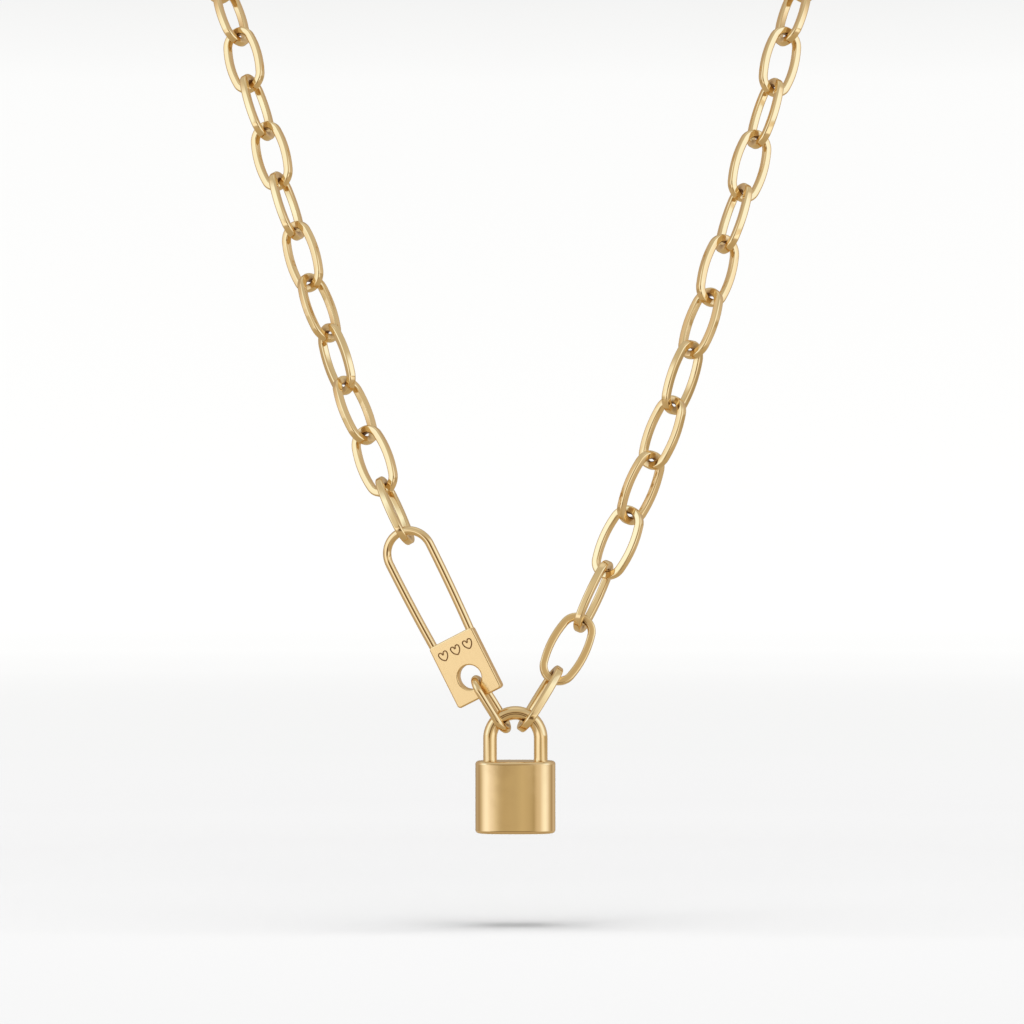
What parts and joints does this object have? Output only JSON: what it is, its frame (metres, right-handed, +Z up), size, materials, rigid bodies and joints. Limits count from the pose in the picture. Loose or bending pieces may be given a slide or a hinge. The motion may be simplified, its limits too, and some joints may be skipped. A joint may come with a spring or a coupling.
{
  "type": "padlock pendant necklace",
  "caption": "Gold-coloured necklace of oval links closed in front by a small padlock that hangs free, with a flat lock-shaped connector on one side.",
  "frame": {"origin": "point on the nape of the neck where the middle of the clasp rests", "axes": "+Z up, -Y the front, where the padlock hangs; +X to the right as seen from the front"},
  "size_m": [0.1085, 0.1195, 0.1672],
  "materials": {
    "chain": "polished, gold-coloured, with soft bevelled edges",
    "connector": "polished, gold-coloured, with a fine satin face",
    "padlock": "highly polished, gold-coloured"
  },
  "bodies": {
    "necklace": {"chain_left": "chain", "chain_right": "chain", "clasp": "chain", "connector": "connector", "connector_ring": "connector"},
    "padlock": {"lock_body": "padlock", "lock_shackle": "padlock"}
  },
  "joints": [
    {"name": "padlock_swing", "type": "hinge", "parent": "necklace", "child": "padlock", "pos_m": [0, -0.112, -0.14683], "axis": [1, 0, 0], "range_deg": [-20, 45]}
  ]
}
